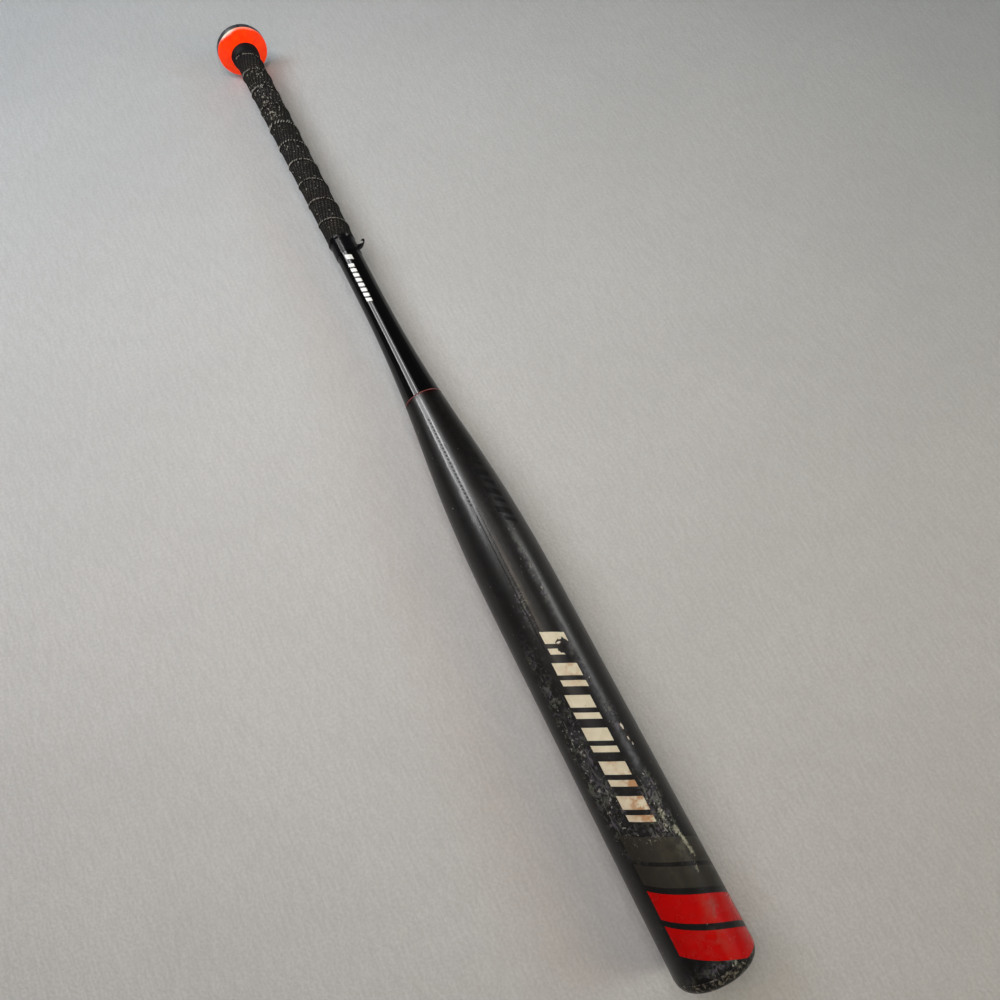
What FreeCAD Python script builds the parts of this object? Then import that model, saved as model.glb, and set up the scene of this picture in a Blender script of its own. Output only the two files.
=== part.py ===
"""Two-piece softball bat, modelled lying down.

The bat's axis runs along X, from the knob at the low end to the end cap at the high end. Z is up. The origin is
under the middle of the bat's length, on the surface that the barrel lies on. Every piece is a turned shape, so each
one is a closed half-profile revolved about the bat's axis. Profiles are written as (station, radius) pairs: the
station is the distance from the knob's rear face and the radius is the distance from the axis, in millimetres.
"""
import FreeCAD
import Part
import os
import Sketcher

DRIVING_SIZES = {
    # whole bat
    "total_length": 863.6,
    "barrel_diameter": 57.15,
    # handle and barrel outline
    "handle_diameter": 21.3,
    "handle_wall": 2.55,
    "flare_start": 304.6,
    "flare_radius": 1280.0,
    "joint_station": 417.0,
    "flare_end": 440.0,
    "shoulder_start": 470.0,
    "shoulder_end": 594.0,
    "shoulder_end_radius": 27.68,
    "shoulder_curve": 1210.0,
    "full_diameter_start": 798.0,
    # joint between handle and barrel
    "ring_width": 0.7,
    "insert_end": 492.0,
    "insert_neck_radius": 12.6,
    "insert_bend_radius": 13.9,
    "insert_end_radius": 18.4,
    "insert_neck_bore": 10.2,
    "insert_end_bore": 15.8,
    "sleeve_thickness": 1.0,
    "throat_plug_length": 22.0,
    # barrel inside and end cap
    "shoulder_bore_radius": 24.6,
    "barrel_bore_radius": 25.5,
    "cap_seat_length": 16.0,
    "cap_length": 8.6,
    "cap_flange_gap": 0.25,
    "cap_rounding": 7.2,
    "cap_dome_height": 1.0,
    "cap_wall": 3.0,
    "cap_skirt_wall": 2.2,
    "cap_rib_count": 6,
    "cap_rib_thickness": 1.6,
    "cap_rib_length": 9.0,
    "glue_gap": 0.25,
    "end_weight_radius": 15.0,
    "end_weight_length": 11.0,
    # knob
    "knob_diameter": 46.6,
    "knob_base_thickness": 5.5,
    "knob_flange_thickness": 7.2,
    "knob_rim_rounding": 2.4,
    "knob_neck_radius": 13.4,
    "knob_spigot_length": 22.0,
    "knob_spigot_clearance": 0.1,
    "badge_radius": 14.0,
    "badge_thickness": 0.4,
    "badge_clearance": 0.1,
    "knob_weight_length": 28.0,
    "knob_foam_length": 20.0,
    "plug_gap": 2.0,
    # grip
    "lower_band_width": 6.5,
    "lower_band_radius": 13.1,
    "underlay_thickness": 0.35,
    "grip_radius": 11.85,
    "grip_end": 251.0,
    "finishing_band_width": 16.0,
    "finishing_band_radius": 11.4,
}

doc = FreeCAD.newDocument("softball_bat")
sheet = doc.addObject("Spreadsheet::Sheet", "sizes")
for row, (alias, value) in enumerate(DRIVING_SIZES.items(), start=1):
    sheet.set(f"A{row}", alias)
    sheet.set(f"B{row}", str(value))
    sheet.setAlias(f"B{row}", alias)
doc.recompute()

# Radii and stations that several pieces share, as formulas on the sheet.
BARREL_R = "sizes.barrel_diameter / 2"
HANDLE_R = "sizes.handle_diameter / 2"
HANDLE_BORE = f"{HANDLE_R} - sizes.handle_wall"
KNOB_R = "sizes.knob_diameter / 2"
KNOB_TOP = "sizes.knob_base_thickness + sizes.knob_flange_thickness"
GRIP_START = f"{KNOB_TOP} + sizes.lower_band_width"
UNDERLAY_R = f"{HANDLE_R} + sizes.underlay_thickness"
BARREL_START = "sizes.joint_station + sizes.ring_width"
BARREL_END = "sizes.total_length - sizes.cap_length"
CAP_INNER_FACE = "sizes.total_length - sizes.cap_wall"
CAP_SKIRT_START = f"{BARREL_END} - sizes.cap_seat_length"
CAP_SKIRT_R = "sizes.barrel_bore_radius - sizes.glue_gap"
CAP_SKIRT_BORE = f"{CAP_SKIRT_R} - sizes.cap_skirt_wall"
CAP_FLANGE_R = f"{BARREL_R} - sizes.cap_flange_gap"


def flare(station):
    """The outer radius on the long hollow curve that leads from the handle to the barrel."""
    run = f"({station} - sizes.flare_start)"
    return f"{HANDLE_R} + sizes.flare_radius - sqrt(sizes.flare_radius ^ 2 - {run} ^ 2)"


def between(station, low_station, low_radius, high_station, high_radius):
    """The radius at a station on the straight line between two (station, radius) points."""
    share = f"({station} - ({low_station})) / ({high_station} - ({low_station}))"
    return f"{low_radius} + ({high_radius} - ({low_radius})) * {share}"


def number(formula):
    """A formula's value on the sheet."""
    value = sheet.evalExpression(formula)
    return float(getattr(value, "Value", value))


def origin_plane(body, role):
    return next(f for f in body.Origin.OriginFeatures if f.Role == role)


def bulge_point(start, end, radius):
    """The middle point of an arc of that radius from start to end. A positive radius bulges to the arc's left."""
    chord = end - start
    left = FreeCAD.Vector(-chord.y, chord.x, 0).normalize()
    half = chord.Length / 2
    rise = abs(radius) - (radius * radius - half * half) ** 0.5
    return start + chord * 0.5 + left * (rise if radius > 0 else -rise)


def draw_profile(sketch, outline):
    """Draws a closed outline and ties each corner to the sheet.

    outline is a list of (station, radius) or (station, radius, arc). arc is (formula, side): the edge that leaves the
    corner is then an arc of that radius, which bulges to its left for side 1 and to its right for side -1.
    """
    corners = [FreeCAD.Vector(number(c[0]), number(c[1]), 0) for c in outline]
    count = len(corners)
    for i, corner in enumerate(outline):
        start, end = corners[i], corners[(i + 1) % count]
        if len(corner) == 3:
            formula, side = corner[2]
            middle = bulge_point(start, end, side * number(formula))
            sketch.addGeometry(Part.Arc(start, middle, end))
        else:
            sketch.addGeometry(Part.LineSegment(start, end))

    def corner_of(edge, vector):
        """Which of an edge's two ends lies at a corner: an arc may be stored the other way round."""
        first, second = (sketch.getPoint(edge, end).distanceToPoint(vector) for end in (1, 2))
        return 1 if first < second else 2

    for i, corner in enumerate(outline):
        end_here = corner_of(i, corners[i])
        before = (i - 1) % count
        end_before = corner_of(before, corners[i])
        sketch.addConstraint(Sketcher.Constraint("Coincident", before, end_before, i, end_here))
        for kind, formula, value in zip(("DistanceX", "DistanceY"), corner[:2], (corners[i].x, corners[i].y)):
            if abs(value) < 1e-9:
                axis = -2 if kind == "DistanceX" else -1
                sketch.addConstraint(Sketcher.Constraint("PointOnObject", i, end_here, axis))
                continue
            index = sketch.addConstraint(Sketcher.Constraint(kind, -1, 1, i, end_here, value))
            sketch.setExpression(f"Constraints[{index}]", formula)
        if len(corner) == 3:
            index = sketch.addConstraint(Sketcher.Constraint("Radius", i, number(corner[2][0])))
            sketch.setExpression(f"Constraints[{index}]", corner[2][0])


def turned(name, outline):
    """A piece turned about the bat's axis from an outline of (station, radius) corners."""
    body = doc.addObject("PartDesign::Body", name)
    body.Label = name
    sketch = body.newObject("Sketcher::SketchObject", f"{name}_profile")
    sketch.AttachmentSupport = [(origin_plane(body, "XZ_Plane"), "")]
    sketch.MapMode = "FlatFace"
    draw_profile(sketch, outline)
    revolution = body.newObject("PartDesign::Revolution", f"{name}_turned")
    revolution.Profile = sketch
    revolution.ReferenceAxis = (sketch, ["H_Axis"])
    revolution.Angle = 360
    sketch.Visibility = False
    body.setExpression("Placement.Base.x", "-sizes.total_length / 2")
    body.setExpression("Placement.Base.z", BARREL_R)
    return body


def tube(name, start, end, inner, outer):
    """A plain turned sleeve."""
    return turned(name, [(start, inner), (start, outer), (end, outer), (end, inner)])


def rod(name, start, end, radius):
    """A plain turned plug."""
    return tube(name, start, end, "0", radius)


def make_knob():
    base = "sizes.knob_base_thickness"
    rounding = "sizes.knob_rim_rounding"
    badge_r = "sizes.badge_radius + sizes.badge_clearance"
    spigot_r = f"{HANDLE_BORE} - sizes.knob_spigot_clearance"
    turned("knob_base", [
        ("sizes.badge_thickness", "0"),
        ("sizes.badge_thickness", badge_r),
        ("0", badge_r),
        ("0", f"{KNOB_R} - {rounding}", (rounding, 1)),
        (rounding, KNOB_R),
        (base, KNOB_R),
        (base, spigot_r),
        (f"{base} + sizes.knob_spigot_length", spigot_r),
        (f"{base} + sizes.knob_spigot_length", "0"),
    ])
    bore = f"{HANDLE_R} + sizes.glue_gap"
    turned("knob_flange", [
        (base, bore),
        (base, f"{KNOB_R} - 0.1"),
        (f"{base} + 1.2", f"{KNOB_R} - 0.1", (rounding, 1)),
        (f"{base} + 1.2 + {rounding}", f"{KNOB_R} - 0.1 - {rounding}"),
        (KNOB_TOP, "sizes.knob_neck_radius"),
        (KNOB_TOP, bore),
    ])
    tube("knob_adhesive", base, KNOB_TOP, HANDLE_R, bore)
    rod("knob_badge", "0", "sizes.badge_thickness", "sizes.badge_radius")
    weight_start = f"{base} + sizes.knob_spigot_length + sizes.plug_gap"
    weight_end = f"{weight_start} + sizes.knob_weight_length"
    rod("knob_weight", weight_start, weight_end, HANDLE_BORE)
    rod("knob_foam_plug", weight_end, f"{weight_end} + sizes.knob_foam_length", HANDLE_BORE)


def make_handle():
    turned("handle_tube", [
        ("sizes.knob_base_thickness", HANDLE_BORE),
        ("sizes.knob_base_thickness", HANDLE_R),
        ("sizes.flare_start", HANDLE_R, ("sizes.flare_radius", -1)),
        ("sizes.joint_station", flare("sizes.joint_station")),
        ("sizes.joint_station", "sizes.insert_neck_radius"),
        ("sizes.flare_end", "sizes.insert_bend_radius"),
        ("sizes.insert_end", "sizes.insert_end_radius"),
        ("sizes.insert_end", "sizes.insert_end_bore"),
        ("sizes.joint_station", "sizes.insert_neck_bore"),
        ("sizes.flare_start", HANDLE_BORE),
    ])
    plug_start = "sizes.insert_end - sizes.throat_plug_length"
    bore_at_plug = between(plug_start, "sizes.joint_station", "sizes.insert_neck_bore",
                           "sizes.insert_end", "sizes.insert_end_bore")
    turned("throat_plug", [
        (plug_start, "0"),
        (plug_start, bore_at_plug),
        ("sizes.insert_end", "sizes.insert_end_bore"),
        ("sizes.insert_end", "0"),
    ])


def insert_radius(station):
    """The radius of the handle's hidden insert between its neck and its bend."""
    return between(station, "sizes.joint_station", "sizes.insert_neck_radius",
                   "sizes.flare_end", "sizes.insert_bend_radius")


def make_joint():
    thickness = "sizes.sleeve_thickness"
    turned("joint_sleeve", [
        (BARREL_START, insert_radius(f"({BARREL_START})")),
        (BARREL_START, f"{insert_radius(f'({BARREL_START})')} + {thickness}"),
        ("sizes.flare_end", f"sizes.insert_bend_radius + {thickness}"),
        ("sizes.insert_end", f"sizes.insert_end_radius + {thickness}"),
        ("sizes.insert_end", "sizes.insert_end_radius"),
        ("sizes.flare_end", "sizes.insert_bend_radius"),
    ])
    turned("joint_ring", [
        ("sizes.joint_station", "sizes.insert_neck_radius"),
        ("sizes.joint_station", flare("sizes.joint_station")),
        (BARREL_START, flare(f"({BARREL_START})")),
        (BARREL_START, insert_radius(f"({BARREL_START})")),
    ])


def make_barrel():
    thickness = "sizes.sleeve_thickness"
    flare_end_r = flare("sizes.flare_end")
    shoulder_start_r = (f"{flare_end_r} + (sizes.shoulder_start - sizes.flare_end) * "
                        "(sizes.flare_end - sizes.flare_start) / sizes.flare_radius")
    turned("barrel_shell", [
        (BARREL_START, f"{insert_radius(f'({BARREL_START})')} + {thickness}"),
        (BARREL_START, flare(f"({BARREL_START})"), ("sizes.flare_radius", -1)),
        ("sizes.flare_end", flare_end_r),
        ("sizes.shoulder_start", shoulder_start_r, ("sizes.shoulder_curve", 1)),
        ("sizes.shoulder_end", "sizes.shoulder_end_radius"),
        ("sizes.full_diameter_start", BARREL_R),
        (BARREL_END, BARREL_R),
        (BARREL_END, "sizes.barrel_bore_radius"),
        (CAP_SKIRT_START, "sizes.barrel_bore_radius"),
        ("sizes.shoulder_end", "sizes.shoulder_bore_radius"),
        ("sizes.insert_end", f"sizes.insert_end_radius + {thickness}"),
        ("sizes.flare_end", f"sizes.insert_bend_radius + {thickness}"),
    ])


def make_end_cap():
    rounding = "sizes.cap_rounding"
    face = "sizes.total_length - sizes.cap_dome_height"
    dome_r = f"{CAP_FLANGE_R} - {rounding}"
    dome_curve = f"(({dome_r}) ^ 2 + sizes.cap_dome_height ^ 2) / (2 * sizes.cap_dome_height)"
    inner_face = CAP_INNER_FACE
    cap = turned("end_cap", [
        (CAP_SKIRT_START, CAP_SKIRT_BORE),
        (CAP_SKIRT_START, CAP_SKIRT_R),
        (BARREL_END, CAP_SKIRT_R),
        (BARREL_END, CAP_FLANGE_R),
        (f"{face} - {rounding}", CAP_FLANGE_R, (rounding, 1)),
        (face, dome_r, (dome_curve, 1)),
        ("sizes.total_length", "0"),
        (inner_face, "0"),
        (inner_face, CAP_SKIRT_BORE),
    ])
    add_cap_ribs(cap)
    tube("end_cap_adhesive", CAP_SKIRT_START, BARREL_END, CAP_SKIRT_R, "sizes.barrel_bore_radius")
    rod("end_weight", f"{inner_face} - sizes.end_weight_length", inner_face, "sizes.end_weight_radius")


def add_cap_ribs(cap):
    """Stiffening ribs inside the end cap, from the end weight out to the skirt."""
    sketch = cap.newObject("Sketcher::SketchObject", "end_cap_rib_outline")
    sketch.AttachmentSupport = [(origin_plane(cap, "XZ_Plane"), "")]
    sketch.MapMode = "FlatFace"
    root = f"{CAP_SKIRT_BORE} + sizes.cap_skirt_wall / 2"
    draw_profile(sketch, [
        (f"{CAP_INNER_FACE} - sizes.cap_rib_length", "sizes.end_weight_radius + 0.5"),
        (f"{CAP_INNER_FACE} - sizes.cap_rib_length", root),
        (f"{CAP_INNER_FACE} + sizes.cap_wall / 3", root),
        (f"{CAP_INNER_FACE} + sizes.cap_wall / 3", "sizes.end_weight_radius + 0.5"),
    ])
    rib = cap.newObject("PartDesign::Pad", "end_cap_rib")
    rib.Profile = sketch
    rib.Midplane = True
    rib.setExpression("Length", "sizes.cap_rib_thickness")
    sketch.Visibility = False
    doc.recompute()
    ribs = cap.newObject("PartDesign::PolarPattern", "end_cap_ribs")
    ribs.Originals = [rib]
    ribs.Axis = (next(f for f in cap.Origin.OriginFeatures if f.Role == "X_Axis"), [""])
    ribs.Angle = 360
    ribs.setExpression("Occurrences", "sizes.cap_rib_count")
    cap.Tip = ribs


def make_grip():
    top = KNOB_TOP
    bulge = "sizes.lower_band_radius"
    turned("lower_band", [
        (top, HANDLE_R),
        (top, bulge),
        (f"{top} + sizes.lower_band_width / 2", bulge),
        (GRIP_START, "sizes.grip_radius"),
        (GRIP_START, HANDLE_R),
    ])
    tube("grip_underlay", GRIP_START, "sizes.grip_end", HANDLE_R, UNDERLAY_R)
    tube("grip_tape", GRIP_START, "sizes.grip_end", UNDERLAY_R, "sizes.grip_radius")
    band_end = "sizes.grip_end + sizes.finishing_band_width"
    tube("finishing_band", "sizes.grip_end", band_end, HANDLE_R, "sizes.finishing_band_radius")


make_knob()
make_grip()
make_handle()
make_joint()
make_barrel()
make_end_cap()
doc.recompute()

pieces = [o for o in doc.Objects if o.TypeId == "PartDesign::Body"]
for item in doc.Objects:
    faults = {"Invalid", "Error"} & set(item.State)
    if faults:
        raise RuntimeError(f"{item.Name} failed to recompute: {faults}")
for piece in pieces:
    if piece.Shape.isNull() or not piece.Shape.isValid() or len(piece.Shape.Solids) != 1:
        raise RuntimeError(f"{piece.Label} isn't one valid solid")

os.makedirs("parts", exist_ok=True)
for piece in pieces:
    piece.Shape.exportStep(f"parts/{piece.Label}.step")
    box = piece.Shape.optimalBoundingBox()
    print(f"{piece.Label:20s} {piece.Shape.Volume / 1000:8.2f} cm3  x {box.XMin:8.2f} {box.XMax:8.2f}"
          f"  z {box.ZMin:6.2f} {box.ZMax:6.2f}")
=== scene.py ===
"""The looks of a used two-piece softball bat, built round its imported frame.

Sizes are in millimetres. A station is the distance from the knob's rear face, a radius is the distance from the
bat's axis, and an angle "around" is in degrees from the top towards the -Y side. bat_point() turns them into
metres in the frame.
"""
import math
import random

import bmesh
import bpy
from mathutils import Matrix, Vector, noise


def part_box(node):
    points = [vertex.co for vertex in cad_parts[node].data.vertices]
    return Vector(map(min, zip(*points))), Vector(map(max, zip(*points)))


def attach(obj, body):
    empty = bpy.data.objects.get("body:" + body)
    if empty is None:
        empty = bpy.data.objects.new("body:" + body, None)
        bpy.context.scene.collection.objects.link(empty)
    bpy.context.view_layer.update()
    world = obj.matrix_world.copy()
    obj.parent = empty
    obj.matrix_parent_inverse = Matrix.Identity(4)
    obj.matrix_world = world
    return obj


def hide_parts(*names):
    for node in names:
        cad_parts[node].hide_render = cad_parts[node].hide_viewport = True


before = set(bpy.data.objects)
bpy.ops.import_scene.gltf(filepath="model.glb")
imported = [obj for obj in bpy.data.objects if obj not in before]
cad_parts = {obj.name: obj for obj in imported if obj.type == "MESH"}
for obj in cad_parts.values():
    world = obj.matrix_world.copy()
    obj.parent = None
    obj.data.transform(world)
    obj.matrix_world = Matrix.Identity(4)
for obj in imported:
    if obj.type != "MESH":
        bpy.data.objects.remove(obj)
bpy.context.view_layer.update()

random.seed(34)

# ---------------- sizes

MM = 0.001
KNOB_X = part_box("knob_base")[0].x
AXIS_Z = (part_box("barrel_shell")[0].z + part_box("barrel_shell")[1].z) / 2


def stations(node):
    """The first and last station of a CAD node."""
    low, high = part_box(node)
    return (low.x - KNOB_X) / MM, (high.x - KNOB_X) / MM


def radius(node):
    """The largest radius of a CAD node."""
    low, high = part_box(node)
    return (high.z - low.z) / 2 / MM


KNOB_SEAM = stations("knob_flange")[0]
KNOB_TOP = stations("knob_flange")[1]
BAND_TOP = stations("lower_band")[1]
GRIP_END = stations("grip_tape")[1]
JOINT, BARREL_START = stations("joint_ring")
INSERT_END = stations("joint_sleeve")[1]
BARREL_END = stations("barrel_shell")[1]
BAT_END = stations("end_cap")[1]
SKIRT_START = stations("end_cap")[0]
KNOB_R = radius("knob_base")
BARREL_R = radius("barrel_shell")
UNDERLAY_R = radius("grip_underlay")
BADGE_R = radius("knob_badge")
UNDERLAY_THICKNESS = 0.35
HANDLE_R = UNDERLAY_R - UNDERLAY_THICKNESS
HANDLE_BORE = HANDLE_R - 2.55
GLUE_GAP = 0.25
CAP_R = BARREL_R - GLUE_GAP
BARREL_BORE, SHOULDER_BORE = 25.5, 24.6
SLEEVE_THICKNESS = 1.0
# The handle's insert in the barrel: its radius at the joint, the flare's end and its own end, and the bore's.
INSERT_NECK_R, INSERT_BEND_R, INSERT_END_R = 12.6, 13.9, 18.4
INSERT_NECK_BORE, INSERT_END_BORE = 10.2, 15.8

# The outline between handle and barrel, as the frame's own pieces have it.
FLARE_START, FLARE_END, FLARE_CURVE = 304.6, 440.0, 1280.0
SHOULDER_START, SHOULDER_END, SHOULDER_CURVE = 470.0, 594.0, 1210.0
SHOULDER_END_R = 27.68
FULL_START = 798.0

SEGMENTS = 200
EDGE = 0.35  # the rounding of the pieces' outer edges
FACE = 6.1  # the angle around of the bat's printed face
SLANT = 0.235  # the print's edges lean along the bat by this many millimetres per degree


def body_radius(station):
    """The bat's outer radius: straight handle, hollow flare, rounded shoulder, nearly straight barrel."""
    if station <= FLARE_START:
        return HANDLE_R
    if station <= FLARE_END:
        return HANDLE_R + FLARE_CURVE - math.sqrt(FLARE_CURVE ** 2 - (station - FLARE_START) ** 2)
    flare_end_r = HANDLE_R + FLARE_CURVE - math.sqrt(FLARE_CURVE ** 2 - (FLARE_END - FLARE_START) ** 2)
    slope = (FLARE_END - FLARE_START) / FLARE_CURVE
    if station <= SHOULDER_START:
        return flare_end_r + slope * (station - FLARE_END)
    shoulder_start_r = flare_end_r + slope * (SHOULDER_START - FLARE_END)
    if station <= SHOULDER_END:
        length = SHOULDER_END - SHOULDER_START
        share = (station - SHOULDER_START) / length
        bulge = length ** 2 * share * (1 - share) / (2 * SHOULDER_CURVE)
        return shoulder_start_r + (SHOULDER_END_R - shoulder_start_r) * share + bulge
    share = min(1.0, (station - SHOULDER_END) / (FULL_START - SHOULDER_END))
    return SHOULDER_END_R + (BARREL_R - SHOULDER_END_R) * share


def barrel_skin(station, around):
    """The barrel's radius with the faint waves and small dents of a used wound tube."""
    a = math.radians(around)
    spot = Vector((station / 26, 1.6 * math.cos(a), 1.6 * math.sin(a)))
    dents = max(0.0, noise.noise(spot * 2.6 + Vector((5, 1, 3))) - 0.34)
    fade = min(1.0, (station - BARREL_START) / 12, (BARREL_END - station) / 6)
    return body_radius(station) + fade * (0.022 * noise.noise(spot) - 0.22 * dents)


# ---------------- meshes

def bat_point(station, around, radius):
    a = math.radians(around)
    return Vector((KNOB_X + station * MM, -radius * MM * math.sin(a), AXIS_Z + radius * MM * math.cos(a)))


def piece(name, points, faces, material, slot, replaces=(), sharp=34):
    """A closed mesh on the bat's one body, with smooth shading up to the sharp angle."""
    mesh = bpy.data.meshes.new(name)
    mesh.from_pydata(points, [], faces)
    bm = bmesh.new()
    bm.from_mesh(mesh)
    bmesh.ops.remove_doubles(bm, verts=bm.verts, dist=0.002 * MM)
    bmesh.ops.recalc_face_normals(bm, faces=bm.faces)
    bm.to_mesh(mesh)
    bm.free()
    mesh.shade_smooth()
    mesh.set_sharp_from_angle(angle=math.radians(sharp))
    mesh.materials.append(material)
    made = bpy.data.objects.new(name, mesh)
    bpy.context.scene.collection.objects.link(made)
    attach(made, "root")
    if replaces:
        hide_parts(*replaces)
    return made


def loft(rings, closed=False):
    """Points and faces through rings of equal length. The last joins the first if closed, or both are capped."""
    count, size = len(rings), len(rings[0])
    points = [p for ring in rings for p in ring]
    faces = []
    for i in range(count if closed else count - 1):
        here, after = i * size, (i + 1) % count * size
        for j in range(size):
            k = (j + 1) % size
            faces.append((here + j, here + k, after + k, after + j))
    if not closed:
        faces += [list(range(size)), list(range(len(points) - size, len(points)))]
    return points, faces


def turned(outline, segments=SEGMENTS, skin=None):
    """A closed (station, radius) outline turned about the axis. skin may change a radius."""
    rings = []
    for i in range(segments):
        around = 360 * i / segments
        ring = []
        for station, r in outline:
            if skin is not None:
                r = skin(station, around, r)
            ring.append(bat_point(station, around, r))
        rings.append(ring)
    return loft(rings, closed=True)


def span(start, end, step):
    """Evenly spaced stations from start to end, both included."""
    count = max(1, round(abs(end - start) / step))
    return [start + (end - start) * i / count for i in range(count + 1)]


def arc(station, radius, size, start, end, steps=8):
    """Points on an arc about (station, radius). Angles: 0 is towards the barrel's end, 90 outwards."""
    turns = [math.radians(start + (end - start) * i / steps) for i in range(steps + 1)]
    return [(station + size * math.cos(t), radius + size * math.sin(t)) for t in turns]


def patch(low, high, left, right, lift, step=1.1, skin=None, slant=SLANT, last=None):
    """A thin closed layer of ink on the bat, between slanted edges low and high and angles left and right.

    low and high are stations on the printed face, and the edges lean by slant. It stops at the station last.
    """
    skin = skin or (lambda station, around: body_radius(station))
    arc_mm = math.radians(abs(right - left)) * body_radius((low + high) / 2)
    columns = max(2, round(arc_mm / step))
    rows = max(2, round((high - low) / step))
    points, cells = [], {}
    for i in range(columns + 1):
        around = left + (right - left) * i / columns
        lean = slant * (around - FACE)
        start, end = low - lean, high - lean
        if last is not None:
            end = min(end, last)
            if end - start < 0.5:
                break
        for j in range(rows + 1):
            station = start + (end - start) * j / rows
            r = skin(station, around)
            for side, depth in enumerate((lift, -0.06)):
                cells[i, j, side] = len(points)
                points.append(bat_point(station, around, r + depth))
    used = max(key[0] for key in cells)
    faces = []
    for i in range(used):
        for j in range(rows):
            for side in (0, 1):
                faces.append([cells[a, b, side] for a, b in ((i, j), (i + 1, j), (i + 1, j + 1), (i, j + 1))])
    for i in range(used):
        for j in (0, rows):
            faces.append([cells[i, j, 0], cells[i + 1, j, 0], cells[i + 1, j, 1], cells[i, j, 1]])
    for j in range(rows):
        for i in (0, used):
            faces.append([cells[i, j, 0], cells[i, j + 1, 0], cells[i, j + 1, 1], cells[i, j, 1]])
    return points, faces


def joined(parts):
    """Several (points, faces) meshes as one."""
    points, faces = [], []
    for more_points, more_faces in parts:
        start = len(points)
        points += more_points
        faces += [[v + start for v in face] for face in more_faces]
    return points, faces


# ---------------- materials

class Shader:
    """Builds one material's nodes. Sockets or plain numbers go in, and sockets come out."""

    def __init__(self, name):
        self.material = bpy.data.materials.new(name)
        self.material.use_nodes = True
        self.tree = self.material.node_tree
        self.tree.nodes.clear()
        self.position = self.node("TexCoord").outputs["Object"]

    def node(self, kind, inputs=(), **settings):
        """A new node. inputs holds what is fed in, by each input's number or name."""
        made = self.tree.nodes.new("ShaderNode" + kind)
        for key, value in settings.items():
            setattr(made, key, value)
        for key, value in dict(inputs).items():
            self.feed(made.inputs[key], value)
        return made

    def feed(self, socket, value):
        if isinstance(value, bpy.types.NodeSocket):
            self.tree.links.new(value, socket)
        elif isinstance(value, tuple) and len(value) == 3 and socket.type == "RGBA":
            socket.default_value = (*value, 1)
        else:
            socket.default_value = value

    def math(self, operation, *values):
        return self.node("Math", enumerate(values), operation=operation).outputs[0]

    def times(self, first, *others):
        for other in others:
            first = self.math("MULTIPLY", first, other)
        return first

    def plus(self, first, second):
        return self.math("ADD", first, second)

    def minus(self, first, second):
        return self.math("SUBTRACT", first, second)

    def mix(self, share, a, b):
        return self.node("Mix", {0: share, 6: a, 7: b}, data_type="RGBA").outputs[2]

    def ramp(self, value, low, high, start=0.0, end=1.0):
        """Goes smoothly from start to end as value goes from low to high."""
        numbers = enumerate((value, low, high, start, end))
        return self.node("MapRange", numbers, interpolation_type="SMOOTHSTEP").outputs[0]

    def noise(self, per_mm, detail=3.0, stretch=None, seed=0.0, swirl=0.0):
        """Noise with per_mm waves in a millimetre. stretch scales it along the bat and around it."""
        inputs = {"W": seed, "Detail": detail, "Distortion": swirl}
        if stretch is None:
            inputs |= {"Vector": self.position, "Scale": per_mm / MM}
        else:
            inputs |= {"Vector": self.wrapped(stretch), "Scale": per_mm}
        return self.node("TexNoise", inputs, noise_dimensions="4D").outputs["Fac"]

    def places(self):
        """The station and the angle around of the point that is shaded."""
        if not hasattr(self, "place"):
            x, y, z = self.node("SeparateXYZ", {0: self.position}).outputs
            station = self.times(self.minus(x, KNOB_X), 1 / MM)
            up = self.minus(z, AXIS_Z)
            side = self.times(y, -1.0)
            around = self.times(self.math("ARCTAN2", side, up), math.degrees(1))
            self.place = station, around
        return self.place

    def wrapped(self, stretch):
        """The point as (station, arc length round a 25 mm radius), stretched."""
        station, around = self.places()
        stretched = self.times(station, stretch[0]), self.times(around, stretch[1] * math.radians(25))
        return self.node("CombineXYZ", enumerate(stretched)).outputs[0]

    def spot(self, station, around, length, spread, strength=1.0):
        """A soft patch that fades out from its middle."""
        here_station, here_around = self.places()
        along = self.math("DIVIDE", self.minus(here_station, station), length)
        across = self.math("DIVIDE", self.minus(here_around, around), spread)
        far = self.plus(self.times(along, along), self.times(across, across))
        return self.times(self.math("EXPONENT", self.times(far, -1.0)), strength)

    def spots(self, places):
        """The sum of soft patches."""
        total = self.spot(*places[0])
        for place in places[1:]:
            total = self.plus(total, self.spot(*place))
        return total

    def bump(self, height, depth_mm, before=None):
        inputs = {"Strength": 1.0, "Distance": depth_mm * MM, "Height": height}
        if before is not None:
            inputs["Normal"] = before
        return self.node("Bump", inputs).outputs[0]

    def finish(self, colour, roughness, normal=None, **others):
        inputs = {key.replace("_", " "): value for key, value in others.items()}
        inputs |= {"Base Color": colour, "Roughness": roughness}
        if normal is not None:
            inputs["Normal"] = normal
        self.node("OutputMaterial", {"Surface": self.node("BsdfPrincipled", inputs).outputs[0]})
        return self.material


# Where the barrel is worn; where pale grey streaks along its right side paint a reflection, with a greyish film
# on its left side;
# and where it has pale smears and chips down to the white undercoat: station, angle around, length, spread,
# strength.
WORN = [
    (650, 40, 26, 14, 0.5), (690, 38, 24, 15, 0.8), (724, 40, 26, 15, 1.0), (752, 34, 22, 16, 0.9),
    (772, 4, 9, 30, 0.8), (655, -20, 20, 8, 0.5), (698, -28, 18, 9, 0.65), (748, -24, 17, 14, 1.0),
    (768, -20, 9, 14, 0.9), (604, 14, 22, 10, 0.6), (585, -22, 34, 6, 0.75), (857, -14, 9, 60, 1.0),
    (824, -24, 6, 8, 0.8), (838, 2, 9, 26, 0.45),
]
SHEEN_STREAKS_AND_FILM = [
    (585, -21, 34, 4, 0.7), (650, -20, 16, 5, 1.0), (676, -22, 16, 6, 0.8), (708, -24, 18, 6, 0.9),
    (735, -26, 16, 6, 0.7), (720, 34, 32, 11, 0.9),
]
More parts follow.
